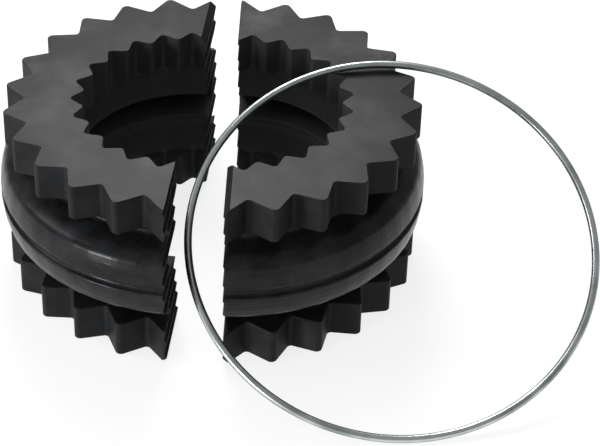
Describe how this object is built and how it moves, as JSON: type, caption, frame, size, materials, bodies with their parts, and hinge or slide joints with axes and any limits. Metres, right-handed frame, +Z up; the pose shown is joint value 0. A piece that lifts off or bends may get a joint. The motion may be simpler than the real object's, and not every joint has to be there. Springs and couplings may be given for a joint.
{
  "type": "sleeve coupling",
  "caption": "Split moulded rubber sleeve of a toothed shaft coupling, serrated outside and inside at both ends, with a grooved middle flange and its wire retaining ring.",
  "frame": {"origin": "middle of the box round the whole set, on the floor that it stands on", "axes": "+X across the set, from the left half sleeve to the right one; +Y away from the viewer; +Z up, along the sleeve's axis"},
  "size_m": [0.2006, 0.1686, 0.0667],
  "materials": {
    "moulded_rubber": "satin moulded synthetic rubber",
    "zinc_plated_wire": "bright zinc plated"
  },
  "bodies": {
    "root": {"left_half_sleeve": "moulded_rubber", "right_half_sleeve": "moulded_rubber", "retaining_ring": "zinc_plated_wire"}
  },
  "joints": []
}
